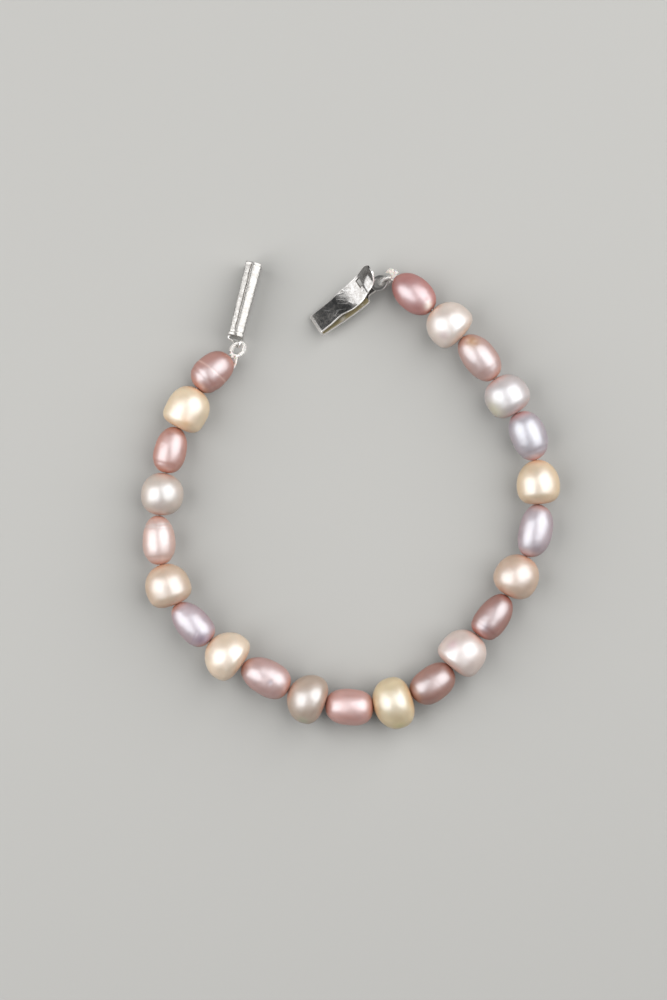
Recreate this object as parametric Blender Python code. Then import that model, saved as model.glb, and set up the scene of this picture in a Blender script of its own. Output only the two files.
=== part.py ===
"""Pearl bracelet, open and lying on a surface: freshwater pearls on silk, with a narrow silver box clasp."""

import math

import bmesh
import bpy
from mathutils import Matrix, Vector

MM = 0.001
UP = Vector((0.0, 0.0, 1.0))

# Pearls
OVAL_WIDTH = 6.0 * MM
BUTTON_WIDTH = 8.0 * MM
PEARL_GAP = 0.25 * MM
DRILL_RADIUS = 0.4 * MM
PEARL_SIDES = 16
RINGS_PER_HALF = 5
END_PEARL_LIFT = 0.25 * MM

# Where the thread enters the first pearl, passes between neighbours and leaves the last pearl, in mm
STRING_ROUTE = (
    (-19.9, 22.8), (-25.4, 17.6), (-28.8, 11.2), (-30.7, 3.6), (-31.9, -3.4), (-31.6, -11.6),
    (-29.0, -18.2), (-23.4, -24.4), (-17.9, -28.1), (-10.3, -32.4), (-4.2, -34.6), (3.8, -35.3),
    (10.2, -33.4), (16.7, -28.6), (21.0, -23.2), (25.9, -16.7), (29.3, -10.3), (31.3, -1.6),
    (30.8, 5.8), (27.6, 13.6), (23.9, 19.2), (18.4, 26.0), (13.5, 30.5), (7.4, 36.0),
)

# Each pearl: its kind, its width as a share of its kind's width, where its widest place lies along the drill
# hole, how full its first and last halves are (2 is elliptical, more is flatter at the end), how many mm its
# middle lies off the hole towards the inside of the bracelet, and its colour
PEARLS = (
    ("oval", 0.97, 0.57, 2.4, 2.4, -0.3, "mauve"),
    ("button", 0.90, 0.54, 2.2, 3.6, 0.3, "cream"),
    ("oval", 0.91, 0.57, 2.2, 2.3, 0.0, "rose"),
    ("button", 0.89, 0.50, 2.1, 2.2, 0.2, "grey_pink"),
    ("oval", 0.92, 0.55, 2.1, 2.3, 0.1, "rose"),
    ("button", 0.94, 0.55, 2.0, 2.9, 0.0, "peach"),
    ("oval", 0.93, 0.57, 2.1, 2.6, 0.1, "lilac"),
    ("button", 1.03, 0.60, 1.9, 3.0, -0.1, "cream"),
    ("oval", 1.01, 0.57, 2.1, 2.4, 0.2, "lilac"),
    ("button", 1.03, 0.57, 1.9, 2.7, -0.1, "grey_beige"),
    ("oval", 1.01, 0.52, 2.4, 2.6, -0.1, "rose"),
    ("button", 1.08, 0.53, 2.1, 2.5, -0.1, "yellow"),
    ("oval", 0.98, 0.48, 2.3, 2.3, -0.25, "mauve"),
    ("button", 0.98, 0.40, 3.4, 2.2, 0.1, "white_pink"),
    ("oval", 0.92, 0.40, 2.7, 2.2, -0.25, "mauve"),
    ("button", 0.93, 0.45, 2.4, 2.1, 0.1, "peach"),
    ("oval", 0.94, 0.48, 2.2, 2.3, -0.3, "lilac"),
    ("button", 0.90, 0.43, 2.8, 2.0, 0.05, "yellow"),
    ("oval", 1.00, 0.53, 2.3, 2.2, -0.25, "lilac"),
    ("button", 0.93, 0.46, 2.7, 2.2, 0.0, "grey_pink"),
    ("oval", 0.95, 0.48, 2.3, 2.1, -0.2, "mauve"),
    ("button", 0.97, 0.40, 2.9, 2.1, -0.15, "white_pink"),
    ("oval", 0.98, 0.50, 2.2, 2.0, 0.0, "mauve"),
)

# Thread, and the loops of coiled wire round it, which stay open at the knot by twice WIRE_LOOP_MOUTH
THREAD_RADIUS = 0.15 * MM
THREAD_SIDES = 6
THREAD_END_SHARE = 0.75
KNOT_RADIUS = 0.42 * MM
KNOT_STEPS = 2
KNOT_STANDOFF = 0.5 * MM
WIRE_LOOP_RADIUS = 0.36 * MM
WIRE_LOOP_BORE = 0.25 * MM
WIRE_LOOP_SIDES = 8
TUBE_LOOP_LENGTH = 2.6 * MM
TUBE_LOOP_WIDTH = 1.9 * MM
TONGUE_LOOP_LENGTH = 2.1 * MM
TONGUE_LOOP_WIDTH = 1.5 * MM
WIRE_LOOP_STEPS = 18
WIRE_LOOP_MOUTH = math.radians(42)
LOOP_STANDOFF = 0.58 * MM

# Box half of the clasp
TUBE_LENGTH = 12.5 * MM
TUBE_WIDTH_MOUTH = 2.6 * MM
TUBE_WIDTH_CLOSED = 2.35 * MM
TUBE_DEPTH = 4.8 * MM
TUBE_ARCH = 0.48 * MM
TUBE_WALL = 0.3 * MM
TUBE_END_WALL = 0.4 * MM
TUBE_LIP = 0.06 * MM
TUBE_HEADING = math.radians(76)
TUBE_PITCH = math.radians(5)
ARC_STEPS = 8
RING_WIRE_RADIUS = 0.22 * MM
RING_WIRE_SIDES = 6
RING_RADIUS = 0.85 * MM
RING_SIDES = 14
RING_SINK = 0.1 * MM
RING_OFFSET = 0.75 * MM
RING_CROSSING = math.radians(135)
TUBE_LOOP_HEADING = math.radians(44)

# Tongue half of the clasp
STRIP_THICKNESS = 0.28 * MM
LOWER_WIDTH = 4.15 * MM
LOWER_BOW = 0.5 * MM
UPPER_WIDTH = 4.2 * MM
TAB_RISE = 5.05 * MM
TONGUE_LENGTH = 12.6 * MM
FOLD_RADIUS = 0.45 * MM
FOLD_STEPS = 5
EYE_RADIUS = 1.5 * MM
EYE_HOLE_RADIUS = 0.95 * MM
EYE_THICKNESS = 0.34 * MM
EYE_SIDES = 20
SLOT_LENGTH = 0.7 * MM
SLOT_WIDTH = 1.5 * MM
SLOT_SHIFT = 0.5 * MM
SLOT_CUT = 1.2 * MM
SLOT_STATION = 6
TONGUE_HEADING = math.radians(34)
TONGUE_PITCH = math.radians(2)
TONGUE_ROLL = math.radians(33)
TONGUE_LOOP_HEADING = math.radians(200)
WIRE_IN_EYE = 0.15 * MM

# The lower leaf from the eye's neck to the fold: along the tongue, its bow downwards, its width, as shares of
# TONGUE_LENGTH, LOWER_BOW and LOWER_WIDTH
LOWER_LEAF = (
    (0.915, 0.00, 0.43), (0.865, 0.05, 0.43), (0.800, 0.15, 0.45), (0.765, 0.25, 0.74), (0.730, 0.40, 0.98),
    (0.500, 1.00, 1.00), (0.230, 1.00, 1.00), (0.080, 0.95, 1.00),
)

# The upper leaf from the fold to the thumb tab's tip: along the tongue, its rise and its width, as shares of
# TONGUE_LENGTH, TAB_RISE and UPPER_WIDTH, and its twist in degrees, which lifts its left side
UPPER_LEAF = (
    (0.180, 0.14, 0.93, 0), (0.340, 0.22, 0.89, 0), (0.420, 0.24, 0.94, 2), (0.505, 0.26, 0.96, 10),
    (0.610, 0.30, 0.94, 16), (0.705, 0.37, 0.92, 18), (0.785, 0.48, 0.87, 14), (0.825, 0.56, 0.86, 8),
    (0.885, 0.68, 0.85, 2), (0.940, 0.80, 0.78, 0), (0.970, 0.90, 0.62, 0), (0.990, 0.96, 0.45, 0),
    (0.997, 1.00, 0.32, 0),
)

# Base colour, metallic value and roughness of each finish
FINISHES = {
    "mauve": ((0.48, 0.26, 0.24), 0.0, 0.25),
    "cream": ((0.80, 0.63, 0.43), 0.0, 0.25),
    "rose": ((0.61, 0.32, 0.27), 0.0, 0.25),
    "grey_pink": ((0.56, 0.46, 0.41), 0.0, 0.25),
    "peach": ((0.72, 0.50, 0.34), 0.0, 0.25),
    "lilac": ((0.57, 0.42, 0.45), 0.0, 0.25),
    "grey_beige": ((0.50, 0.38, 0.30), 0.0, 0.25),
    "yellow": ((0.75, 0.56, 0.31), 0.0, 0.25),
    "white_pink": ((0.72, 0.58, 0.54), 0.0, 0.25),
    "silver": ((0.80, 0.79, 0.76), 1.0, 0.2),
    "silk": ((0.86, 0.80, 0.76), 0.0, 0.8),
}
SHARP_ANGLE = math.radians(35)


def material(name):
    """A plain finish for one kind of surface, made once."""
    finish = bpy.data.materials.get(name)
    if finish is None:
        colour, metallic, roughness = FINISHES[name]
        finish = bpy.data.materials.new(name)
        finish.use_nodes = True
        shader = finish.node_tree.nodes["Principled BSDF"]
        shader.inputs["Base Color"].default_value = (*colour, 1.0)
        shader.inputs["Metallic"].default_value = metallic
        shader.inputs["Roughness"].default_value = roughness
    return finish


def add_object(name, bm, finish):
    """Turns a finished bmesh into a named, smooth-shaded object."""
    bmesh.ops.recalc_face_normals(bm, faces=bm.faces)
    mesh = bpy.data.meshes.new(name)
    bm.to_mesh(mesh)
    bm.free()
    mesh.shade_smooth()
    mesh.set_sharp_from_angle(angle=SHARP_ANGLE)
    mesh.materials.append(finish)
    piece = bpy.data.objects.new(name, mesh)
    bpy.context.collection.objects.link(piece)
    return piece


def hide_helper(piece):
    """Marks an object that only cuts or joins another one."""
    piece.hide_render = True
    piece.display_type = "WIRE"
    return piece


def combine(piece, helper, operation):
    """Joins a helper to a piece, or cuts it away."""
    modifier = piece.modifiers.new(helper.name, "BOOLEAN")
    modifier.operation = operation
    modifier.solver = "EXACT"
    modifier.object = helper


def skin(bm, rings, closed=False):
    """Faces between rings of points of equal count; an open skin gets a face across each end."""
    loops = [[bm.verts.new(point) for point in ring] for ring in rings]
    count = len(loops[0])
    following = loops[1:] + loops[:1] if closed else loops[1:]
    for near, far in zip(loops, following):
        for i in range(count):
            j = (i + 1) % count
            bm.faces.new((near[i], near[j], far[j], far[i]))
    if not closed:
        bm.faces.new(loops[0])
        bm.faces.new(loops[-1])


def frames_along(path):
    """A turned frame at each point of a path, carried along it without twisting."""
    frames = []
    side = None
    for i, point in enumerate(path):
        before = path[max(i - 1, 0)]
        after = path[min(i + 1, len(path) - 1)]
        ahead = (after - before).normalized()
        if side is None:
            side = ahead.cross(UP).normalized()
        side = (side - ahead * side.dot(ahead)).normalized()
        frames.append((point, side, ahead.cross(side)))
    return frames


def circle_at(frame, radius, sides):
    """Points of a circle across a path."""
    point, side, other = frame
    turns = (2 * math.pi * k / sides for k in range(sides))
    return [point + side * (radius * math.cos(a)) + other * (radius * math.sin(a)) for a in turns]


def pearl_outline(length, radius, belly, first, last):
    """Points along the drill hole and out from it, from the first drill mouth over the pearl to the last."""
    halves = []
    for half, fullness, sign in ((belly * length, first, -1), ((1 - belly) * length, last, 1)):
        power = 2 / fullness
        mouth = math.acos((DRILL_RADIUS / radius) ** (1 / power))
        turns = [mouth * k / RINGS_PER_HALF for k in range(RINGS_PER_HALF + 1)]
        halves.append([(sign * half * math.sin(a) ** power, radius * math.cos(a) ** power) for a in turns])
    belly_at = (belly - 0.5) * length
    return [(belly_at + along, out) for along, out in halves[0][:0:-1] + halves[1]]


def build_pearl(name, row, start, end):
    """One pearl turned round its drill hole, between two points of the route, and drawn to one side."""
    kind, width, belly, first, last, lean, colour = row
    axis = end - start
    length = axis.length - PEARL_GAP
    radius = pearl_width(row) / 2
    bm = bmesh.new()
    outline = [bm.verts.new((x, 0.0, r)) for x, r in pearl_outline(length, radius, belly, first, last)]
    edges = [bm.edges.new(pair) for pair in zip(outline, outline[1:] + outline[:1])]
    bmesh.ops.spin(bm, geom=outline + edges, cent=(0, 0, 0), axis=(1, 0, 0), angle=2 * math.pi,
                   steps=PEARL_SIDES, use_merge=True)
    for vert in bm.verts:
        beyond_hole = math.hypot(vert.co.y, vert.co.z) - DRILL_RADIUS
        vert.co.y += lean * MM * beyond_hole / (radius - DRILL_RADIUS)
    pearl = add_object(name, bm, material(colour))
    pearl.location = (start + end) / 2
    pearl.rotation_euler = axis.to_track_quat("X", "Z").to_euler()
    return pearl


def pearl_width(row):
    """A pearl's real width across its drill hole."""
    return row[1] * (OVAL_WIDTH if row[0] == "oval" else BUTTON_WIDTH)


def string_points():
    """The route's points at their heights: buttons rest on the surface, and ovals hang between them."""
    heights = []
    for i in range(1, len(PEARLS)):
        button = PEARLS[i] if PEARLS[i][0] == "button" else PEARLS[i - 1]
        heights.append(pearl_width(button) / 2)
    first = pearl_width(PEARLS[0]) + 2 * END_PEARL_LIFT - heights[0]
    last = pearl_width(PEARLS[-1]) + 2 * END_PEARL_LIFT - heights[-1]
    heights = [first] + heights + [last]
    return [Vector((x * MM, y * MM, z)) for (x, y), z in zip(STRING_ROUTE, heights)]


class WireLoop:
    """The route of a coiled wire loop, from beside a pearl's drill mouth round its far end and back."""

    def __init__(self, mouth, length, width, towards, across):
        self.mouth = mouth
        self.length = length
        self.width = width
        self.towards = towards
        self.across = (across - towards * across.dot(towards)).normalized()
        self.centre = mouth + towards * (LOOP_STANDOFF + length / 2)

    def at(self, turn):
        """The point at a turn in radians, counted from the near end."""
        along = self.towards * (-self.length / 2 * math.cos(turn))
        return self.centre + along + self.across * (self.width / 2 * math.sin(turn))

    def path(self):
        """The loop's points, which leave its near end open for the knot."""
        span = 2 * (math.pi - WIRE_LOOP_MOUTH)
        return [self.at(WIRE_LOOP_MOUTH + span * k / WIRE_LOOP_STEPS) for k in range(WIRE_LOOP_STEPS + 1)]

    def knot(self):
        """Where the thread is knotted, just outside the drill mouth."""
        return self.mouth + self.towards * KNOT_STANDOFF


def aim(heading, rise):
    """A unit vector with a heading seen from above and a rise as the sine of its slope."""
    level = math.sqrt(1 - rise * rise)
    return Vector((level * math.cos(heading), level * math.sin(heading), rise))


def build_wire_loop(name, loop):
    """A short hollow length of coiled wire, as a plain tube round the thread."""
    frames = frames_along(loop.path())
    bm = bmesh.new()
    outer = [circle_at(frame, WIRE_LOOP_RADIUS, WIRE_LOOP_SIDES) for frame in frames]
    inner = [circle_at(frame, WIRE_LOOP_BORE, WIRE_LOOP_SIDES) for frame in frames]
    skin(bm, outer + inner[::-1], closed=True)
    return add_object(name, bm, material("silver"))


def build_thread(points, first_loop, last_loop):
    """The silk from the first knot round its loop, through every pearl and round the other loop."""
    path = [*thread_end(first_loop)[::-1], *points, *thread_end(last_loop)]
    bm = bmesh.new()
    skin(bm, [circle_at(frame, THREAD_RADIUS, THREAD_SIDES) for frame in frames_along(path)])
    thread = add_object("silk_thread", bm, material("silk"))
    for number, loop in enumerate((first_loop, last_loop), 1):
        knot_bm = bmesh.new()
        bmesh.ops.create_icosphere(knot_bm, subdivisions=KNOT_STEPS, radius=KNOT_RADIUS)
        knot = hide_helper(add_object(f"knot_{number}", knot_bm, material("silk")))
        knot.location = loop.knot()
        combine(thread, knot, "UNION")
    return thread


def thread_end(loop):
    """The thread's points beyond a drill mouth: through the knot, round the loop and back into the knot."""
    knot = loop.knot()
    path = loop.path()
    back = knot + (path[-1] - knot).normalized() * (KNOT_RADIUS * THREAD_END_SHARE)
    return [knot, *path, back]


def section(x, width, depth):
    """Points round the housing at a distance from its closed end: flat sides joined by two low arches."""
    half = width / 2
    radius = (half * half + TUBE_ARCH * TUBE_ARCH) / (2 * TUBE_ARCH)
    spread = math.asin(half / radius)
    points = []
    for side in (1, -1):
        for k in range(ARC_STEPS + 1):
            a = spread * (1 - 2 * k / ARC_STEPS)
            height = depth / 2 - radius * (1 - math.cos(a))
            points.append(Vector((x, side * radius * math.sin(a), side * height)))
    return points


def build_tube():
    """The housing along X from its closed end, with an end plate, a ring and an open mouth."""
    wall = 2 * TUBE_WALL
    lip = 2 * TUBE_LIP
    bm = bmesh.new()
    skin(bm, [
        section(0.0, TUBE_WIDTH_CLOSED + lip, TUBE_DEPTH + lip),
        section(TUBE_END_WALL, TUBE_WIDTH_CLOSED + lip, TUBE_DEPTH + lip),
        section(TUBE_END_WALL, TUBE_WIDTH_CLOSED, TUBE_DEPTH),
        section(TUBE_LENGTH, TUBE_WIDTH_MOUTH, TUBE_DEPTH),
        section(TUBE_LENGTH, TUBE_WIDTH_MOUTH - wall, TUBE_DEPTH - wall),
        section(TUBE_END_WALL, TUBE_WIDTH_CLOSED - wall, TUBE_DEPTH - wall),
    ])
    tube = add_object("clasp_tube", bm, material("silver"))
    ring_bm = bmesh.new()
    circle = bmesh.ops.create_circle(ring_bm, segments=RING_WIRE_SIDES, radius=RING_WIRE_RADIUS)["verts"]
    bmesh.ops.translate(ring_bm, verts=circle, vec=(RING_RADIUS, 0, 0))
    bmesh.ops.spin(ring_bm, geom=ring_bm.verts[:] + ring_bm.edges[:], cent=(0, 0, 0), axis=(0, 1, 0),
                   angle=2 * math.pi, steps=RING_SIDES, use_merge=True)
    bmesh.ops.translate(ring_bm, verts=ring_bm.verts, vec=ring_place())
    combine(tube, hide_helper(add_object("ring", ring_bm, material("silver"))), "UNION")
    return tube


def ring_place():
    """The soldered ring's centre in the housing's own frame."""
    return Vector((RING_SINK - RING_RADIUS, -RING_OFFSET, 0.0))


def build_tongue():
    """The folded strip along X from its fold to its eye, with Y across and Z out of the upper leaf."""
    lower = [(x * TONGUE_LENGTH, -drop * LOWER_BOW, w * LOWER_WIDTH, 0.0) for x, drop, w in LOWER_LEAF]
    upper = [(x * TONGUE_LENGTH, rise * TAB_RISE, w * UPPER_WIDTH, math.radians(twist))
             for x, rise, w, twist in UPPER_LEAF]
    fold = []
    for k in range(FOLD_STEPS + 1):
        share = k / FOLD_STEPS
        a = math.pi * (1.5 - share)
        width = lower[-1][2] * (1 - share) + upper[0][2] * share
        fold.append((FOLD_RADIUS * (1 + math.cos(a)), FOLD_RADIUS * math.sin(a), width, 0.0))
    stations = lower + fold + upper
    rings = []
    for i, (x, z, width, twist) in enumerate(stations):
        ahead_x = stations[min(i + 1, len(stations) - 1)][0] - stations[max(i - 1, 0)][0]
        ahead_z = stations[min(i + 1, len(stations) - 1)][1] - stations[max(i - 1, 0)][1]
        across = Vector((0.0, math.cos(twist), math.sin(twist)))
        out = Vector((ahead_x, 0.0, ahead_z)).cross(across).normalized() * (STRIP_THICKNESS / 2)
        middle = Vector((x, 0.0, z))
        half = across * width / 2
        rings.append([middle + out + half, middle + out - half, middle - out - half, middle - out + half])
    bm = bmesh.new()
    skin(bm, rings)
    tongue = add_object("clasp_tongue", bm, material("silver"))

    eye_bm = bmesh.new()
    half = EYE_THICKNESS / 2
    inside, outside = EYE_HOLE_RADIUS, EYE_RADIUS
    corners = [(inside, -half), (outside, -half), (outside, half), (inside, half)]
    section = [eye_bm.verts.new((r, 0.0, z)) for r, z in corners]
    edges = [eye_bm.edges.new(pair) for pair in zip(section, section[1:] + section[:1])]
    bmesh.ops.spin(eye_bm, geom=section + edges, cent=(0, 0, 0), axis=(0, 0, 1), angle=2 * math.pi,
                   steps=EYE_SIDES, use_merge=True)
    bmesh.ops.translate(eye_bm, verts=eye_bm.verts, vec=(TONGUE_LENGTH, 0, 0))
    combine(tongue, hide_helper(add_object("eye", eye_bm, material("silver"))), "UNION")

    before, after = upper[SLOT_STATION - 1], upper[SLOT_STATION + 1]
    slot_bm = bmesh.new()
    bmesh.ops.create_cube(slot_bm, size=1.0)
    bmesh.ops.scale(slot_bm, verts=slot_bm.verts, vec=(SLOT_LENGTH, SLOT_WIDTH, SLOT_CUT))
    slope = math.atan2(after[1] - before[1], after[0] - before[0])
    bmesh.ops.rotate(slot_bm, verts=slot_bm.verts, cent=(0, 0, 0), matrix=Matrix.Rotation(-slope, 3, "Y"))
    place = Vector((upper[SLOT_STATION][0], SLOT_SHIFT, upper[SLOT_STATION][1]))
    bmesh.ops.translate(slot_bm, verts=slot_bm.verts, vec=place)
    combine(tongue, hide_helper(add_object("slot", slot_bm, material("silver"))), "DIFFERENCE")
    return tongue


def turn(heading, pitch_down, roll):
    """The turn of a clasp half: its roll about its own length, its pitch, then its heading."""
    return (Matrix.Rotation(heading, 3, "Z") @ Matrix.Rotation(pitch_down, 3, "Y")
            @ Matrix.Rotation(roll, 3, "X"))


def set_down(piece, rotation, anchor, level_point):
    """Turns a piece, rests it on the surface and puts its anchor point over a point seen from above."""
    lowest = min((rotation @ vertex.co).z for vertex in piece.data.vertices)
    reach = rotation @ anchor
    location = Vector((level_point.x - reach.x, level_point.y - reach.y, -lowest))
    piece.matrix_world = Matrix.Translation(location) @ rotation.to_4x4()
    for modifier in piece.modifiers:
        modifier.object.matrix_world = piece.matrix_world
    return location + reach


def centre_on_origin():
    """Parents every piece to one empty, and moves it so that the whole box's bottom centre is the origin."""
    bracelet = bpy.data.objects.new("bracelet", None)
    bpy.context.collection.objects.link(bracelet)
    pieces = [piece for piece in bpy.data.objects if piece.type == "MESH"]
    bpy.context.view_layer.update()
    corners = []
    for piece in pieces:
        piece.parent = bracelet
        if not piece.hide_render:
            shape = piece.evaluated_get(bpy.context.evaluated_depsgraph_get())
            corners += [piece.matrix_world @ vertex.co for vertex in shape.data.vertices]
    low = Vector(min(corner[k] for corner in corners) for k in range(3))
    high = Vector(max(corner[k] for corner in corners) for k in range(3))
    bracelet.location = (-(low.x + high.x) / 2, -(low.y + high.y) / 2, -low.z)


def build():
    """The whole bracelet, its box's bottom centre at the origin."""
    for old in list(bpy.data.objects):
        bpy.data.objects.remove(old)
    points = string_points()
    for number, row in enumerate(PEARLS, 1):
        build_pearl(f"pearl_{number:02d}", row, points[number - 1], points[number])

    tube = build_tube()
    tube_turn = turn(TUBE_HEADING, TUBE_PITCH, 0.0)
    ring_height = set_down(tube, tube_turn, ring_place(), points[0]).z
    reach = LOOP_STANDOFF + TUBE_LOOP_LENGTH / 2 * (1 - math.cos(RING_CROSSING))
    towards = aim(TUBE_LOOP_HEADING, (ring_height - points[0].z) / reach)
    tube_loop = WireLoop(points[0], TUBE_LOOP_LENGTH, TUBE_LOOP_WIDTH, towards, UP.cross(towards))
    set_down(tube, tube_turn, ring_place(), tube_loop.at(RING_CROSSING))

    tongue = build_tongue()
    tongue_turn = turn(TONGUE_HEADING, -TONGUE_PITCH, -TONGUE_ROLL)
    eye = Vector((TONGUE_LENGTH, 0.0, 0.0))
    eye_height = set_down(tongue, tongue_turn, eye, points[-1]).z
    reach = LOOP_STANDOFF + TONGUE_LOOP_LENGTH + WIRE_IN_EYE
    towards = aim(TONGUE_LOOP_HEADING, (eye_height - points[-1].z) / reach)
    tongue_loop = WireLoop(points[-1], TONGUE_LOOP_LENGTH, TONGUE_LOOP_WIDTH, towards, tongue_turn @ UP)
    set_down(tongue, tongue_turn, eye, points[-1] + towards * reach)

    build_wire_loop("tube_gimp_loop", tube_loop)
    build_wire_loop("tongue_gimp_loop", tongue_loop)
    build_thread(points, tube_loop, tongue_loop)
    centre_on_origin()


build()
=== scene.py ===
# %% [markdown]
# # A pearl bracelet, open on a table
#
# Freshwater pearls are drilled and strung on silk. Ovals drilled lengthwise take turns with buttons
# drilled through their short way, and a narrow silver box clasp joins the ends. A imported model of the
# solids is the fixed frame. This script loads it, reads where each piece lies, and builds the finished
# surfaces in the same places.

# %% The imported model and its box
import math

import bmesh
import bpy
import numpy as np
from mathutils import Matrix, Vector, noise


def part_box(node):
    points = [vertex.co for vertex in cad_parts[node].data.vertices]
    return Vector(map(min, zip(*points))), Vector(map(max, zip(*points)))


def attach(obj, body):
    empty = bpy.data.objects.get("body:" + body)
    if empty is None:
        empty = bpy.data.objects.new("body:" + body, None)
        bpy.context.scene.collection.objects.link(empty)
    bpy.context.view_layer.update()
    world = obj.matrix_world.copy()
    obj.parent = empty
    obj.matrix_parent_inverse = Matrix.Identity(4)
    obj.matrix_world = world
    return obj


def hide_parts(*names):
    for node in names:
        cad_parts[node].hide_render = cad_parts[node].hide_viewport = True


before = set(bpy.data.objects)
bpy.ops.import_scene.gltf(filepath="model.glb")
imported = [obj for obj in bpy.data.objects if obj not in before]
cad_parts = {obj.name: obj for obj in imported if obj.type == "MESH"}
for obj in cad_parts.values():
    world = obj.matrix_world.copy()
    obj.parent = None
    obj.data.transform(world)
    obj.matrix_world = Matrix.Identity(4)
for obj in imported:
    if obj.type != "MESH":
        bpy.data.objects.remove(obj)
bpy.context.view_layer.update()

MM = 0.001
UP = Vector((0.0, 0.0, 1.0))


def place_object(name, data):
    """Puts a mesh, a curve, a light or a camera into the scene as an object."""
    made = bpy.data.objects.new(name, data)
    bpy.context.scene.collection.objects.link(made)
    return made


# %% [markdown]
# ## The camera
#
# The picture was taken from straight above with a long lens, so the camera looks down and has almost no
# perspective. A Blender camera without a turn looks straight down. Its height comes from the scale: how
# many pixels of the long side one millimetre of string takes.

# %% The camera
PIXELS_PER_MM = 6.05
LONG_SIDE_PIXELS = 1000
LENS = 100.0
SENSOR = 36.0
STRING_HEIGHT = 3.5 * MM
AIM_POINT = (-2.79 * MM, -0.85 * MM)

camera_data = bpy.data.cameras.new("camera")
camera_data.lens = LENS
camera_data.sensor_width = SENSOR
camera_data.clip_start = 10 * MM
camera = place_object("camera", camera_data)
picture_height = LONG_SIDE_PIXELS / PIXELS_PER_MM * MM
camera.location = (*AIM_POINT, STRING_HEIGHT + picture_height * LENS / SENSOR)
bpy.context.scene.camera = camera
print("camera height in mm:", round(camera.location.z / MM, 1))

# %% [markdown]
# ## Colours and nodes
#
# Colours are written as sRGB hex, as a colour picker gives them, and one function turns them to the linear
# values that the shader needs. One more function adds any shader node with its settings and its links, and
# short ones add the kinds that come up most: noise, a change of range, and a blend of two colours.


# %% Colours and nodes
def linear(hex_colour):
    """A linear colour with alpha from an sRGB hex value such as #d8c0b8."""
    parts = [int(hex_colour[i:i + 2], 16) / 255 for i in (1, 3, 5)]
    return (*(p / 12.92 if p <= 0.04045 else ((p + 0.055) / 1.055) ** 2.4 for p in parts), 1.0)


def add_node(tree, kind, inputs=None, **settings):
    """Adds a node, sets its properties, and gives its inputs values or other nodes' outputs."""
    node = tree.nodes.new("ShaderNode" + kind)
    for name, value in settings.items():
        setattr(node, name, value)
    for key, value in (inputs or {}).items():
        if isinstance(value, bpy.types.NodeSocket):
            tree.links.new(value, node.inputs[key])
        else:
            node.inputs[key].default_value = value
    return node


def new_material(name):
    """An empty material, its node tree, and the output that a shader goes to."""
    material = bpy.data.materials.new(name)
    material.use_nodes = True
    material.node_tree.nodes.clear()
    output = add_node(material.node_tree, "OutputMaterial")
    return material, material.node_tree, output


def finish_material(tree, output, inputs):
    """Gives a material its shader."""
    shader = add_node(tree, "BsdfPrincipled", inputs)
    tree.links.new(shader.outputs["BSDF"], output.inputs["Surface"])


def add_noise(tree, place, size, detail, roughness=0.5):
    """Noise of a size in mm."""
    return add_node(tree, "TexNoise", {"Vector": place, "Scale": 1 / (size * MM), "Detail": detail,
                                       "Roughness": roughness}).outputs["Fac"]


def remap(tree, value, source, target):
    """A value brought from one range to another."""
    return add_node(tree, "MapRange", {"Value": value, "From Min": source[0], "From Max": source[1],
                                       "To Min": target[0], "To Max": target[1]}).outputs["Result"]


def blend(tree, share, first, second):
    """Two colours blended by a share of the second."""
    mixed = add_node(tree, "Mix", {"Factor": share, "A": first, "B": second}, data_type="RGBA")
    return mixed.outputs["Result"]


# %% [markdown]
# ## Table and light
#
# The table is plain and pale. Each pearl in the picture holds two soft white patches with a thin dark gap
# between them: two softboxes, one on each side of the lens, the right one larger, nearer to the lens and a
# little higher up the picture. A dim sky fills the shadows.

# %% Table and light
TABLE_SIZE = 4000 * MM
TABLE_DROP = 0.02 * MM
table_bm = bmesh.new()
bmesh.ops.create_grid(table_bm, x_segments=1, y_segments=1, size=TABLE_SIZE / 2)
bmesh.ops.translate(table_bm, verts=table_bm.verts, vec=(0, 0, -TABLE_DROP))
table_mesh = bpy.data.meshes.new("table")
table_bm.to_mesh(table_mesh)
table_bm.free()
table = place_object("table", table_mesh)

paper, tree, output = new_material("matt_paper")
finish_material(tree, output, {"Base Color": linear("#a09f9c"), "Roughness": 0.9, "Specular IOR Level": 0.2})
table_mesh.materials.append(paper)

# Each softbox: azimuth round the table from +X and height above it in degrees, distance, width and height
# in mm, and watts
SOFTBOXES = (
    ("left_softbox", 180, 40, 520, 560, 650, 4.0),
    ("right_softbox", 25, 46, 520, 680, 700, 5.2),
)
for name, azimuth, elevation, distance, width, height, power in SOFTBOXES:
    light = bpy.data.lights.new(name, "AREA")
    light.shape = "RECTANGLE"
    light.size = width * MM
    light.size_y = height * MM
    light.energy = power
    lamp = place_object(name, light)
    turn = (Matrix.Rotation(math.radians(azimuth), 3, "Z")
            @ Matrix.Rotation(math.radians(-elevation), 3, "Y"))
    away = turn @ Vector((1, 0, 0))
    lamp.location = away * distance * MM
    lamp.rotation_euler = away.to_track_quat("Z", "Y").to_euler()
    lamp.visible_camera = False

world = bpy.data.worlds.new("sky")
bpy.context.scene.world = world
world.use_nodes = True
sky = world.node_tree.nodes["Background"].inputs
sky["Color"].default_value = linear("#e6ebf0")
sky["Strength"].default_value = 0.10
bpy.context.scene.view_settings.view_transform = "Standard"
print("softboxes:", len(SOFTBOXES))
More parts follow.
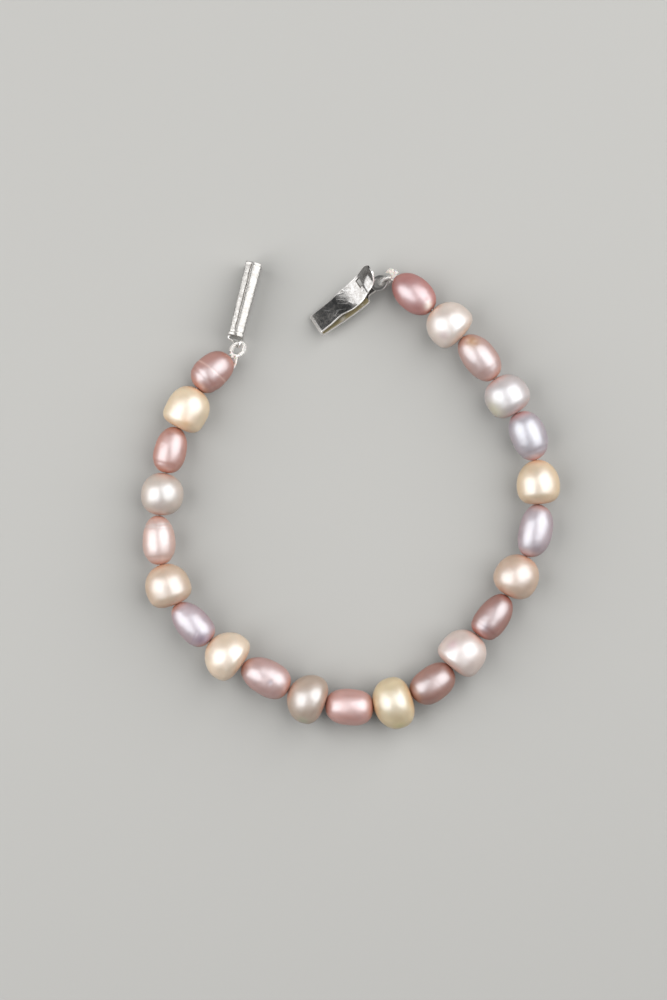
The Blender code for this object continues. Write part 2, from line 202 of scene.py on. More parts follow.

# %% [markdown]
# ## Nacre
#
# A freshwater pearl is nacre all through: thin plates of aragonite, tumbled to a polish. The top plate
# mirrors the light sharply, the many plates below it add a wide white lustre, stronger than one surface of
# aragonite gives, and the rest sinks in and comes back soft in the pearl's own colour. So the shader is a
# clear coat over a rough layer with a high index, on a coloured body with some subsurface light. The
# plates lie flat under the skin, so the lustre is whitest and strongest where a pearl is seen straight on,
# and fades to the body colour at its rim. Two attributes painted on each pearl tell where its other
# colours lie.
# One of them, the warm tone near the drill holes, is partly the pearl's own colour and partly a painted
# reflection of its neighbours and the thread.


# %% Nacre
ARAGONITE_IOR = 1.6
LUSTRE_IOR = 3.9
LUSTRE_TINT = (0.86, 0.94, 1.0, 1.0)
CLOUD_MM = 2.6
CLOUD_VALUES = (0.90, 1.08)
GLOSS = (0.42, 0.54)
LUSTRE = (0.5, 0.1)
LUSTRE_FADE = (0.02, 0.6)
SKIN_MM = 0.35
SKIN_DEPTH = 0.02 * MM


def nacre(name, body, warm, patch):
    """Polished nacre: its body colour, its warm colour round the drill holes, which is partly a painted
    reflection from its neighbours, and its patches' colour.
    """
    material, tree, output = new_material(name)
    place = add_node(tree, "TexCoord").outputs["Object"]
    warm_and_reflection_share, patch_share = (add_node(tree, "Attribute", attribute_name=painted).outputs["Fac"]
                               for painted in ("warm", "patch"))
    clouds = add_noise(tree, place, CLOUD_MM, 2.0)
    # The warm tone is partly a painted reflection of the neighbouring pearls and the thread.
    warmed = blend(tree, warm_and_reflection_share, linear(body), linear(warm))
    patched = blend(tree, patch_share, warmed, linear(patch))
    clouded = add_node(tree, "HueSaturation", {"Value": remap(tree, clouds, (0.3, 0.7), CLOUD_VALUES),
                                               "Color": patched})
    skin = add_noise(tree, place, SKIN_MM, 3.0)
    bump = add_node(tree, "Bump", {"Strength": 0.08, "Distance": SKIN_DEPTH, "Height": skin})
    facing = add_node(tree, "LayerWeight", {"Blend": 0.5}).outputs["Facing"]
    finish_material(tree, output, {
        "Base Color": clouded.outputs["Color"], "Metallic": 0.1,
        "Roughness": remap(tree, clouds, (0.0, 1.0), GLOSS), "IOR": LUSTRE_IOR,
        "Specular IOR Level": remap(tree, facing, LUSTRE_FADE, LUSTRE), "Specular Tint": LUSTRE_TINT,
        "Normal": bump.outputs["Normal"], "Subsurface Weight": 0.25, "Subsurface Radius": (1.0, 0.6, 0.45),
        "Subsurface Scale": 0.6 * MM, "Coat Weight": 0.5, "Coat Roughness": 0.24, "Coat IOR": ARAGONITE_IOR})
    return material


# %% [markdown]
# ## Where each pearl lies
#
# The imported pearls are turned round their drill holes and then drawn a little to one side. Only the walls
# of the drill hole have edges that run from end to end, so the longest edges give the two drill mouths.
# Every ring of vertices gives one step of the outline, and the widest ring's middle tells how far the
# pearl leans.

# %% Where each pearl lies
WELD = 0.001 * MM
LONG_SHARE = 0.7
RING_TOLERANCE = 0.02 * MM
PEARL_COUNT = 23


def node_centre(node):
    low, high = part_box(node)
    return (low + high) / 2


def read_pearl(node, towards):
    """A packed pearl's drill mouths, its outline along the hole and out from it, and its lean to the left."""
    bm = bmesh.new()
    bm.from_mesh(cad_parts[node].data)
    bmesh.ops.remove_doubles(bm, verts=bm.verts, dist=WELD)
    longest = max(edge.calc_length() for edge in bm.edges)
    rim = {vert for edge in bm.edges if edge.calc_length() > LONG_SHARE * longest for vert in edge.verts}
    middle = sum((vert.co for vert in rim), Vector()) / len(rim)
    ends = [[vert.co for vert in rim if (vert.co - middle).dot(towards) * sign > 0] for sign in (-1, 1)]
    first, last = (sum(points, Vector()) / len(points) for points in ends)
    axis = (last - first).normalized()
    rings = []
    for vert in sorted(bm.verts, key=lambda v: v.co.dot(axis)):
        along = (vert.co - first).dot(axis)
        if not rings or along - rings[-1][0] > RING_TOLERANCE:
            rings.append((along, []))
        rings[-1][1].append(vert.co - first - axis * along)
    bm.free()
    middles = [sum(points, Vector()) / len(points) for _, points in rings]
    outline = [(along, sum((point - middle).length for point in points) / len(points))
               for (along, points), middle in zip(rings, middles)]
    widest = max(range(len(outline)), key=lambda i: outline[i][1])
    return first, last, outline, middles[widest].dot(UP.cross(axis).normalized())


names = [f"pearl_{number:02d}" for number in range(1, PEARL_COUNT + 1)]
centres = [node_centre(name) for name in ["tube_gimp_loop", *names, "tongue_gimp_loop"]]
pearls = [read_pearl(name, centres[i + 2] - centres[i]) for i, name in enumerate(names)]
print("rings in each outline:", sorted({len(outline) for _, _, outline, _ in pearls}),
      "leans in mm:", [round(lean / MM, 2) for _, _, _, lean in pearls])

# %% [markdown]
# ## The pearls' own marks
#
# No two pearls match. For each, a row gives its body colour, the warm tone near its drill holes, which is
# partly a painted reflection of the neighbouring pearls and the thread, and the tone of its patches. Marks
# are dents, rings and patches. Each has its place along the drill hole, from -1 at the first end to 1 at
# the last, and its turn round the hole in degrees from the top, positive towards the inside of the bracelet.

# %% The pearls' own marks
# body colour, warm colour near the drill holes (partly painted reflection), patch colour, lumpiness in mm
COLOURS = (
    ("#98675b", "#b87a64", "#c8a294", 0.07),
    ("#c8b394", "#d6a67c", "#d8ab7a", 0.05),
    ("#a36f60", "#ba7459", "#a98082", 0.08),
    ("#b0a195", "#c6917a", "#a08c84", 0.06),
    ("#b39387", "#c68068", "#a89a96", 0.06),
    ("#b59c84", "#c8906c", "#c4a682", 0.03),
    ("#988287", "#cc8052", "#8a7288", 0.06),
    ("#cdb8a0", "#d09c72", "#d4b588", 0.03),
    ("#a47e77", "#bc8068", "#8c7c86", 0.07),
    ("#a08a78", "#c49078", "#8c9076", 0.04),
    ("#b08076", "#bc7860", "#b4867c", 0.04),
    ("#bfab86", "#cc9c6c", "#b4a870", 0.04),
    ("#8c5c4c", "#ac6a52", "#9a7468", 0.04),
    ("#bdaba2", "#c8927c", "#b68e90", 0.05),
    ("#88574a", "#a65c4c", "#744c52", 0.07),
    ("#b29781", "#c68668", "#c8a078", 0.03),
    ("#97858a", "#ba8474", "#94808c", 0.06),
    ("#c2aa8a", "#d09a72", "#d0b078", 0.03),
    ("#93888e", "#cc8678", "#8c7c8c", 0.06),
    ("#aca19f", "#cc9484", "#b4b088", 0.04),
    ("#9f7c73", "#b87e66", "#a0703c", 0.06),
    ("#c2b3a8", "#d0a484", "#b89898", 0.04),
    ("#9c5f58", "#a05c4c", "#dcccc0", 0.06),
)
print("pearls charted:", len(COLOURS))

# Dents: pearl, along, turn, radius in mm, depth in mm
DENTS = (
    (3, -0.10, -35, 0.50, 0.03), (5, -0.55, 10, 0.90, 0.03), (7, -0.50, 5, 0.80, 0.03),
    (9, 0.24, 0, 0.45, 0.06), (11, -0.60, -57, 0.30, 0.10), (15, 0.15, 15, 0.60, 0.03),
    (21, 0.55, -25, 0.55, 0.06), (21, 0.75, -5, 0.5, 0.05), (23, -0.70, -15, 0.60, 0.05),
    (20, 0.0, 0, 0.7, 0.02),
)
# Rings: pearl, along, tilt in degrees, width in mm, depth in mm, share of the third colour
RINGS = (
    (1, 0.02, 8, 0.22, 0.030, 0.6), (1, 0.50, 0, 0.5, 0.07, 0), (3, 0.64, 0, 0.45, 0.045, 0),
    (5, -0.62, 3, 0.2, 0.02, 0.5), (5, -0.50, -3, 0.2, 0.02, 0.4), (5, 0.72, 0, 0.35, 0.05, 0),
    (7, 0.40, 20, 0.15, 0.025, 0.3), (13, 0.10, 15, 0.14, 0.016, 0), (15, -0.62, 0, 0.45, 0.06, 0),
    (19, -0.66, 0, 0.40, 0.05, 0), (21, -0.6, 0, 0.6, 0.03, 0), (14, 0.30, 60, 0.14, 0.02, 0),
)
# Patches of the third colour: pearl, along, turn, radius in mm, strength
PATCHES = (
    (2, 0.6, 20, 1.6, 0.8), (4, 0.5, 0, 1.5, 0.5), (7, 0.85, 0, 1.9, 1.0), (9, 0.24, 0, 0.6, 0.7),
    (14, -0.1, 40, 1.3, 0.7), (15, -0.6, 0, 1.1, 0.7), (20, -0.3, 60, 2.4, 0.6), (21, 0.62, -20, 1.7, 1.0),
    (22, -0.3, 30, 1.2, 0.5), (23, -0.86, 0, 1.1, 1.0), (10, 0.2, -60, 1.5, 0.7), (12, 0.0, -60, 1.6, 0.7),
)

# %% [markdown]
# ## Shaping the pearls
#
# A pearl could be a squashed sphere with a hole cut through it, but a turned shape gives the hole and the
# true outline at once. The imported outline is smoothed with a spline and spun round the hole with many
# steps, and the hole's mouths flare a little, as a drill leaves them. Then lumps, dents and rings sink the
# skin, and fine ripples roughen it. The pearls are a tenth of a millimetre longer at each end than the
# packed ones, so that they meet as on a tight string.

# %% Shaping the pearls
OUTLINE_STEPS = 9
PEARL_STEPS = 96
END_REACH = 0.11 * MM
DRILL_BORE = 0.33 * MM
MOUTH_DEPTH = 0.12 * MM
LUMP_MM = 2.2
RIPPLE_MM = 0.9
RIPPLE_DEPTH = 0.014 * MM
WARM_REACH = 0.34
WARM_SHARE = 0.7
WARM_POWER = 1.5
HOLE_MARGIN = 1.2
LUMP_SEED = (3.7, 1.3)


def spline(points, steps):
    """A Catmull-Rom curve through points, with so many steps between each two."""
    ends = [points[0] * 2 - points[1], *points, points[-1] * 2 - points[-2]]
    curve = []
    for a, b, c, d in zip(ends, ends[1:], ends[2:], ends[3:]):
        for k in range(steps):
            t = k / steps
            curve.append(0.5 * (2 * b + (c - a) * t + (2 * a - 5 * b + 4 * c - d) * t ** 2
                                + (3 * b - a - 3 * c + d) * t ** 3))
    return [*curve, points[-1]]


def bell(distance, width):
    """One at no distance, and near zero past the width."""
    return math.exp(-(distance / width) ** 2 * 2)


def ramp(value, start, end):
    """Rises smoothly from 0 at the start to 1 at the end."""
    share = min(1.0, max(0.0, (value - start) / (end - start)))
    return share * share * (3 - 2 * share)


def add_piece(name, bm, material, *nodes):
    """Makes an object of a finished bmesh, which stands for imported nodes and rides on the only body."""
    mesh = bpy.data.meshes.new(name)
    bm.to_mesh(mesh)
    bm.free()
    mesh.shade_smooth()
    mesh.materials.append(material)
    piece = place_object(name, mesh)
    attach(piece, "root")
    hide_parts(*nodes)
    print(name, "faces:", len(mesh.polygons))


def build_pearl(number):
    """One pearl on its packed drill hole."""
    first, last, outline, lean = pearls[number - 1]
    axis = (last - first).normalized()
    length = (last - first).length
    stretch = 1 + 2 * END_REACH / length
    curve = spline([Vector(((x - length / 2) * stretch, 0, r)) for x, r in outline], OUTLINE_STEPS)
    half = length * stretch / 2
    bore = [Vector((half - MOUTH_DEPTH, 0, DRILL_BORE)), Vector((MOUTH_DEPTH - half, 0, DRILL_BORE))]
    bm = bmesh.new()
    verts = [bm.verts.new(point) for point in curve + bore]
    edges = [bm.edges.new(pair) for pair in zip(verts, verts[1:] + verts[:1])]
    bmesh.ops.spin(bm, geom=verts + edges, cent=(0, 0, 0), axis=(1, 0, 0), angle=2 * math.pi,
                   steps=PEARL_STEPS, use_merge=True)
    hole, widest = outline[0][1], max(out for _, out in outline)
    for vert in bm.verts:
        beyond_hole = max(0.0, math.hypot(vert.co.y, vert.co.z) - hole)
        vert.co.y += lean * beyond_hole / (widest - hole)
    bmesh.ops.recalc_face_normals(bm, faces=bm.faces)
    mark_pearl(bm, number, half)
    left = UP.cross(axis).normalized()
    turn = Matrix((axis, left, axis.cross(left))).transposed().to_4x4()
    bmesh.ops.transform(bm, matrix=Matrix.Translation((first + last) / 2) @ turn, verts=bm.verts)
    body, warm, patch, _ = COLOURS[number - 1]
    name = f"nacre_{number:02d}"
    add_piece(name, bm, nacre(name, body, warm, patch), f"pearl_{number:02d}")


def mark_pearl(bm, number, half):
    """Moves a pearl's vertices for its lumps, dents and rings, and paints where its other colours lie."""
    warm = bm.verts.layers.float.new("warm")
    patch = bm.verts.layers.float.new("patch")
    lumps = COLOURS[number - 1][3] * MM
    seed = Vector((number * LUMP_SEED[0], number * LUMP_SEED[1], 0))
    widest = max(math.hypot(v.co.y, v.co.z) for v in bm.verts)

    def spot(along, turn):
        """The surface point nearest to a place given as a share along the hole and a turn from the top."""
        a = math.radians(turn)
        return min((v.co for v in bm.verts),
                   key=lambda c: (c.x / half - along) ** 2 + (math.atan2(c.y, c.z) - a) ** 2).copy()

    dents = [(spot(along, turn), radius * MM, depth * MM)
             for pearl, along, turn, radius, depth in DENTS if pearl == number]
    rings = [(along * half, math.radians(tilt), width * MM, depth * MM, paint)
             for pearl, along, tilt, width, depth, paint in RINGS if pearl == number]
    patches = [(spot(along, turn), radius * MM, strength)
               for pearl, along, turn, radius, strength in PATCHES if pearl == number]
    moves = []
    for vert in bm.verts:
        co = vert.co
        inward = lumps * (0.5 + 0.5 * noise.noise(co / (LUMP_MM * MM) + seed))
        inward += RIPPLE_DEPTH * noise.noise(co / (RIPPLE_MM * MM) + seed)
        inward += sum(depth * bell((co - at).length, radius) for at, radius, depth in dents)
        painted = 0.0
        for at, tilt, width, depth, paint in rings:
            near = bell((co.x - at) * math.cos(tilt) + co.y * math.sin(tilt), width)
            inward += depth * near
            painted += paint * near
        # Towards the ends the warm tone rises; it is partly the pearl's own and partly a painted reflection
        # of the neighbouring pearls and the thread.
        share = abs(co.x) / half
        end = max(0.0, (share - 1 + WARM_REACH) / WARM_REACH)
        vert[warm] = min(1.0, WARM_SHARE * end ** WARM_POWER)
        painted += sum(strength * bell((co - at).length, radius) for at, radius, strength in patches)
        vert[patch] = min(1.0, painted)
        moves.append(inward * min(1.0, math.hypot(co.y, co.z) / widest * 2))
    bm.normal_update()
    normals = [vert.normal.copy() for vert in bm.verts]
    for vert, normal, inward in zip(bm.verts, normals, moves):
        if math.hypot(vert.co.y, vert.co.z) > DRILL_BORE * HOLE_MARGIN:
            vert.co -= normal * inward


for number in range(1, PEARL_COUNT + 1):
    build_pearl(number)
print("pearls built:", PEARL_COUNT)

# %% [markdown]
# ## Sweeping wire and thread
#
# Wire and thread are round strands along a path. A Blender curve with a bevel depth sweeps a circle along
# any list of points, and its mesh can be read back and joined to a piece. A coil or a ply is a helix round
# a path, so one function walks along the path in even steps and turns a point round it.


# %% Sweeping wire and thread
def sweep(bm, points, radius, sides=6):
    """Adds a closed round strand along points to a mesh."""
    curve = bpy.data.curves.new("strand", "CURVE")
    curve.dimensions = "3D"
    curve.bevel_depth = radius
    curve.bevel_resolution = (sides - 4) // 2
    curve.use_fill_caps = True
    spline_points = curve.splines.new("POLY").points
    spline_points.add(len(points) - 1)
    for i, point in enumerate(points):
        spline_points[i].co = (*point, 1.0)
    strand = place_object("strand", curve)
    mesh = bpy.data.meshes.new_from_object(strand.evaluated_get(bpy.context.evaluated_depsgraph_get()))
    closed = bmesh.new()
    closed.from_mesh(mesh)
    bmesh.ops.remove_doubles(closed, verts=closed.verts, dist=WELD)
    closed.to_mesh(mesh)
    closed.free()
    bm.from_mesh(mesh)
    bpy.data.objects.remove(strand)
    bpy.data.curves.remove(curve)
    bpy.data.meshes.remove(mesh)


def walk(path, step):
    """Points along a path at even steps."""
    points = [path[0]]
    left = step
    for a, b in zip(path, path[1:]):
        length = (b - a).length
        while left < length:
            points.append(a.lerp(b, left / length))
            left += step
        left -= length
    return points


def helix(path, radius, pitch, steps, phase=0.0, spread=None):
    """A helix of so many steps a turn round a path; spread gives a share of the radius along the path."""
    line = walk(path, pitch / steps)
    side = (line[1] - line[0]).orthogonal().normalized()
    points = []
    for i, point in enumerate(line):
        ahead = (line[min(i + 1, len(line) - 1)] - line[max(i - 1, 0)]).normalized()
        side = (side - ahead * side.dot(ahead)).normalized()
        a = phase + 2 * math.pi * i / steps
        reach = radius * (spread(i / len(line)) if spread else 1.0)
        points.append(point + (side * math.cos(a) + ahead.cross(side) * math.sin(a)) * reach)
    return points


# %% [markdown]
# ## The coiled wire loops
#
# Where the silk goes through the clasp, it runs inside a short length of coiled silver wire, so that metal
# doesn't rub it through. Each coil leaves a pearl's drill mouth, passes through the clasp's bail or eye,
# and comes back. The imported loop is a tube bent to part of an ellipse, open towards the pearl. Its plane
# is the one that its vertices lie closest to, and its middle line points away from the pearl.

# %% The loops' routes
PEARL_GAP = 0.25 * MM
LOOP_STANDOFF = 0.58 * MM
TUBE_LOOP_LENGTH = 2.6 * MM
TUBE_LOOP_WIDTH = 1.9 * MM
TONGUE_LOOP_LENGTH = 2.1 * MM
TONGUE_LOOP_WIDTH = 1.5 * MM
LOOP_MOUTH = math.radians(38)
LOOP_POINTS = 90


def drill_mouth(pearl, end):
    """The thread's point just outside a pearl's drill hole: end 0 is the first one and 1 the last."""
    first, last = pearls[pearl - 1][:2]
    ahead = (last - first).normalized()
    return last + ahead * (PEARL_GAP / 2) if end else first - ahead * (PEARL_GAP / 2)


def read_loop(node, mouth, length, width):
    """A wire loop's way out from its drill mouth, its centre, and its half sizes along and across it."""
    points = np.array([vert.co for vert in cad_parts[node].data.vertices])
    towards = (Vector(points.mean(axis=0)) - mouth).normalized()
    flat = Vector(np.linalg.svd(points - points.mean(axis=0))[2][2])
    across = flat.cross(towards).normalized()
    return towards, mouth + towards * (LOOP_STANDOFF + length / 2), towards * length / 2, across * width / 2


def loop_point(loop, angle):
    """A point of a loop's middle line at an angle from the side that faces the drill mouth."""
    _, centre, ahead, across = loop
    return centre - ahead * math.cos(angle) + across * math.sin(angle)


def loop_route(loop):
    """Points of a loop's middle line from beside the drill mouth round its far end and back."""
    return [loop_point(loop, LOOP_MOUTH + 2 * (math.pi - LOOP_MOUTH) * k / LOOP_POINTS)
            for k in range(LOOP_POINTS + 1)]


tube_mouth = drill_mouth(1, 0)
tongue_mouth = drill_mouth(PEARL_COUNT, 1)
tube_loop = read_loop("tube_gimp_loop", tube_mouth, TUBE_LOOP_LENGTH, TUBE_LOOP_WIDTH)
tongue_loop = read_loop("tongue_gimp_loop", tongue_mouth, TONGUE_LOOP_LENGTH, TONGUE_LOOP_WIDTH)
tube_towards, tongue_towards = tube_loop[0], tongue_loop[0]
print("loops point towards", [[round(v, 2) for v in way] for way in (tube_towards, tongue_towards)])

# %% [markdown]
# ## Silver
#
# The clasp and the coils are sterling silver: white, a little warm, with full metallic reflection. Years
# of use leave fine scratches, small dents and pits, and a brown tarnish where a cloth doesn't reach. Noise
# at four real sizes gives these: waves of the sheet, pits, scratches drawn out one way, and dull clouds.
# Three painted attributes tell where the silver is brown, from tarnish and from painted shade in gaps,
# where a thin yellowish film dulls it, partly as a painted reflection, and where it is rubbed bright and
# matt, as on edges, partly as painted highlights.

# %% Silver
WAVE_MM = 1.1
PIT_MM = 0.28
SCRATCH_MM = 0.12
SCRATCH_DEPTH = 0.002 * MM
SCRATCH_HEADING = math.radians(40)
SCRATCH_STRETCH = 0.12
MOTTLE_MM = 0.5
POLISH = (0.7, 1.4)
RUBBED_ROUGHNESS = 0.5
FILM_AND_REFLECTION_METALLIC = 0.5


def worn_silver(name, polished, wave, pit, roughness, mottling):
    """Worn sterling silver: its colour, its waves' and pits' depth in mm, its roughness, its dull share."""
    material, tree, output = new_material(name)
    place = add_node(tree, "TexCoord").outputs["Object"]
    tarnish, film, rubbed = (add_node(tree, "Attribute", attribute_name=painted).outputs["Fac"]
                             for painted in ("tarnish", "film", "rubbed"))
    turned = add_node(tree, "Mapping", {"Vector": place, "Rotation": (0.0, 0.0, SCRATCH_HEADING),
                                        "Scale": (SCRATCH_STRETCH, 1.0, 1.0)}).outputs["Vector"]
    below = {}
    for drawn_on, size, detail, depth in ((place, WAVE_MM, 1.0, wave * MM), (place, PIT_MM, 3.0, pit * MM),
                                          (turned, SCRATCH_MM, 2.0, SCRATCH_DEPTH)):
        height = add_noise(tree, drawn_on, size, detail)
        bump = add_node(tree, "Bump", {"Distance": depth, "Height": height, **below})
        below = {"Normal": bump.outputs["Normal"]}
    clouds = add_noise(tree, place, MOTTLE_MM, 5.0, 0.7)
    blotch = remap(tree, clouds, (0.4, 0.65), (0.0, mottling))
    # Tarnish, and painted shade in gaps, darken the silver towards brown.
    dull = add_node(tree, "Math", {0: tarnish, 1: blotch}, operation="MAXIMUM")
    colour = blend(tree, dull.outputs["Value"], linear(polished), linear("#615a52"))
    # The yellowish film is partly a painted reflection.
    reflection_filmed = blend(tree, film, colour, linear("#a39672"))
    polish = remap(tree, clouds, (0.35, 0.65), (roughness * POLISH[0], roughness * POLISH[1]))
    matt = add_node(tree, "Math", {0: film, 1: rubbed}, operation="MAXIMUM")
    sheen = add_node(tree, "Mix", {"Factor": matt.outputs["Value"], "A": polish, "B": RUBBED_ROUGHNESS})
    # Rubbed places are lighter, partly as painted highlights.
    finish_material(tree, output, {
        "Base Color": blend(tree, rubbed, reflection_filmed, linear("#efedea")),
        "Metallic": remap(tree, film, (0.0, 1.0), (1.0, FILM_AND_REFLECTION_METALLIC)),
        "Roughness": sheen.outputs["Result"], **below})
    return material


wire_silver = worn_silver("drawn_silver_wire", "#f4f2ee", 0.0, 0.002, 0.46, 0.1)
housing_silver = worn_silver("rolled_silver_sheet", "#a3a19e", 0.012, 0.012, 0.27, 0.28)
# The tongue's silver is painted darker than the box's, as a painted dark reflection of its surroundings.
darkened_tongue_silver = worn_silver("worn_silver_strip_darkened", "#949392", 0.014, 0.010, 0.23, 0.5)
print("silver finishes:", [finish.name for finish in (wire_silver, housing_silver, darkened_tongue_silver)])

# %% [markdown]
# ## Winding the coils
#
# Each coil is a helix of fine wire round its route, wound so close that the turns nearly touch. Its
# outside is rubbed bright, and the gaps between the turns are painted dark as painted shade.

# %% Winding the coils
COIL_RADIUS = 0.42 * MM
COIL_WIRE = 0.085 * MM
COIL_PITCH = 0.19 * MM
COIL_STEPS = 14
COIL_RUBBED = 0.8
COIL_GAP_SHADE = 0.9

for node, loop in (("tube_gimp_loop", tube_loop), ("tongue_gimp_loop", tongue_loop)):
    bm = bmesh.new()
    route = loop_route(loop)
    sweep(bm, helix(route, COIL_RADIUS - COIL_WIRE, COIL_PITCH, COIL_STEPS), COIL_WIRE)
    # Painted shade: the silver is darkened in the gaps between the turns.
    tarnish = bm.verts.layers.float.new("tarnish")
    for vert in bm.verts:
        depth = COIL_RADIUS - min((vert.co - point).length for point in route)
        vert[tarnish] = COIL_GAP_SHADE * ramp(depth, COIL_WIRE, 2 * COIL_WIRE)
    rubbed = bm.verts.layers.float.new("rubbed")
    for vert in bm.verts:
        vert[rubbed] = COIL_RUBBED * (1 - vert[tarnish])
    add_piece(node.replace("gimp_loop", "wire_coil"), bm, wire_silver, node)

# %% [markdown]
# ## The silk
#
# The thread is three plies of white silk with a soft twist. It runs straight through each pearl and bends
# only between them. At each end it comes out of its coil, is knotted, and is cut short, so that the plies
# come loose. The knot is a trefoil, which is an overhand knot with its ends joined, drawn tight round the
# thread.

# %% The silk
PLIES = 3
PLY_RADIUS = 0.085 * MM
PLY_TURN_RADIUS = 0.085 * MM
LAY = 0.8 * MM
LAY_STEPS = 8
KNOT_SIZE = 0.12 * MM
KNOT_RISE = 1.6
KNOT_STANDOFF = 0.5 * MM
KNOT_POINTS = 72
FIBRE_MM = 0.06
FUZZ_DEPTH = 0.02 * MM


def plied(bm, path):
    """Adds twisted plies along a path."""
    for ply in range(PLIES):
        sweep(bm, helix(path, PLY_TURN_RADIUS, LAY, LAY_STEPS, 2 * math.pi * ply / PLIES), PLY_RADIUS)


def trefoil(centre, towards):
    """A tight trefoil round a thread that runs one way through it."""
    turned = towards.to_track_quat("Z", "Y")
    points = []
    for k in range(KNOT_POINTS + 1):
        t = 2 * math.pi * k / KNOT_POINTS
        knot = Vector((math.sin(t) + 2 * math.sin(2 * t), math.cos(t) - 2 * math.cos(2 * t),
                       -KNOT_RISE * math.sin(3 * t)))
        points.append(centre + turned @ (knot * KNOT_SIZE))
    return points


silk, tree, output = new_material("twisted_silk")
fibres = add_noise(tree, add_node(tree, "TexCoord").outputs["Object"], FIBRE_MM, 2.0)
dyed = add_node(tree, "HueSaturation", {"Value": remap(tree, fibres, (0.0, 1.0), (0.75, 1.1)),
                                        "Color": linear("#f3ece6")})
fuzz = add_node(tree, "Bump", {"Distance": FUZZ_DEPTH, "Height": fibres})
finish_material(tree, output, {
    "Base Color": dyed.outputs["Color"], "Roughness": 0.6, "Normal": fuzz.outputs["Normal"],
    "Sheen Weight": 0.4, "Sheen Roughness": 0.4, "Subsurface Weight": 0.2, "Subsurface Scale": 0.1 * MM})

tube_knot = tube_mouth + tube_towards * KNOT_STANDOFF
tongue_knot = tongue_mouth + tongue_towards * KNOT_STANDOFF
holes = [drill_mouth(number, 0) for number in range(1, PEARL_COUNT + 1)] + [tongue_mouth]
thread_path = [tube_knot, *loop_route(tube_loop)[::-1], tube_knot, *holes, tongue_knot,
               *loop_route(tongue_loop), tongue_knot]
thread_bm = bmesh.new()
plied(thread_bm, thread_path)
for knot, towards in ((tube_knot, tube_towards), (tongue_knot, tongue_towards)):
    plied(thread_bm, trefoil(knot, towards))
print("thread in mm:", round(sum((b - a).length for a, b in zip(thread_path, thread_path[1:])) / MM, 1))

# %% [markdown]
# ## The cut ends
#
# The ends of the thread stick out of the knots. By the box half two lie along the first pearl, and by the
# tongue three short ones stand up. Each is a bundle of fine filaments that spread towards the cut.

# %% The cut ends
FILAMENTS = 13
FILAMENT_RADIUS = 0.038 * MM
BUNDLE_RADIUS = 0.16 * MM
GOLDEN_TURN = math.radians(137.5)
TAIL_STEPS = 6

# Each cut end: its knot, its points from there in mm, and how far its filaments spread
CUT_ENDS = (
    (tube_knot, ((0.0, 0.0, 0.2), (0.5, -0.05, 0.4), (0.72, -0.5, 0.4), (0.5, -1.4, 0.2),
                 (0.15, -2.3, 0.0)), 0.3),
    (tube_knot, ((0.0, 0.0, 0.0), (0.3, -0.3, 0.1), (0.4, -0.9, 0.0), (0.2, -1.7, -0.2)), 0.6),
    (tongue_knot, ((0.0, 0.0, 0.2), (-0.2, 0.6, 0.6), (-0.55, 1.05, 0.8), (-0.95, 1.35, 0.8)), 2.2),
    (tongue_knot, ((0.0, 0.0, 0.2), (0.1, 0.6, 0.5), (-0.05, 1.2, 0.6), (0.0, 1.6, 0.5)), 2.2),
    (tongue_knot, ((0.1, 0.0, 0.2), (0.4, 0.5, 0.5), (0.55, 0.9, 0.6), (0.85, 1.15, 0.5)), 2.2),
)
for knot, offsets, loose in CUT_ENDS:
    path = spline([knot + Vector(offset) * MM for offset in offsets], TAIL_STEPS)
    for k in range(FILAMENTS):
        reach = BUNDLE_RADIUS * math.sqrt(k / FILAMENTS)
        strand = helix(path, reach, LAY * 2, LAY_STEPS * 2, GOLDEN_TURN * k, lambda s: 1 + loose * s * s)
        sweep(thread_bm, strand[:len(strand) - k % 3], FILAMENT_RADIUS)
add_piece("silk_strands", thread_bm, silk, "silk_thread")

# %% [markdown]
# ## The box half of the clasp
#
# The box is a narrow tube of rolled sheet: flat sides joined by a low arch above and below. An end plate a
# little larger than the tube closes it, and a wire bail is soldered to the plate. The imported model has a
# plain ring in the bail's place, and both hang at the same point of the coil.

# %% The box half's sizes
TUBE_LENGTH = 12.5 * MM
TUBE_WIDTH_MOUTH = 2.6 * MM
TUBE_WIDTH_CLOSED = 2.35 * MM
TUBE_DEPTH = 4.8 * MM
TUBE_ARCH = 0.48 * MM
TUBE_WALL = 0.3 * MM
TUBE_END_WALL = 0.4 * MM
TUBE_LIP = 0.06 * MM
TUBE_TURN = Matrix.Rotation(math.radians(76), 3, "Z") @ Matrix.Rotation(math.radians(5), 3, "Y")
RING_RADIUS = 0.85 * MM
RING_SINK = 0.1 * MM
RING_OFFSET = 0.75 * MM
RING_PLACE = Vector((RING_SINK - RING_RADIUS, -RING_OFFSET, 0.0))
RING_CROSSING = math.radians(135)
PLATE_DOME = 0.2 * MM
GROOVE_LENGTH = 0.2 * MM
GROOVE_SLOPE = 0.1 * MM
GROOVE_DEPTH = 0.03 * MM
BOX_SHARP = math.radians(24)
EDGE_ROUND = 0.05 * MM
BAIL_RADIUS = 0.18 * MM
BAIL_SIDES = 14
BAIL_STEPS = 8
BAIL_RUBBED = 0.8
ARCH_STEPS = 44
SIDE_STEPS = 12
TUBE_STEPS = 90

# The wire bail, in mm in the box's own frame: out of the end plate, under the coil, and back over it
BAIL = (
    (0.15, 0.95, 0.05), (-0.25, 1.12, 0.05), (-0.50, 0.80, 0.0), (-0.62, 0.40, -0.20), (-0.88, -0.05, -0.62),
    (-1.15, -0.40, -0.80), (-1.42, -0.80, -0.55), (-1.48, -1.00, 0.0), (-1.25, -1.02, 0.48),
    (-0.80, -1.02, 0.68), (-0.40, -0.98, 0.50), (-0.10, -0.95, 0.25), (0.15, -0.90, 0.10),
)


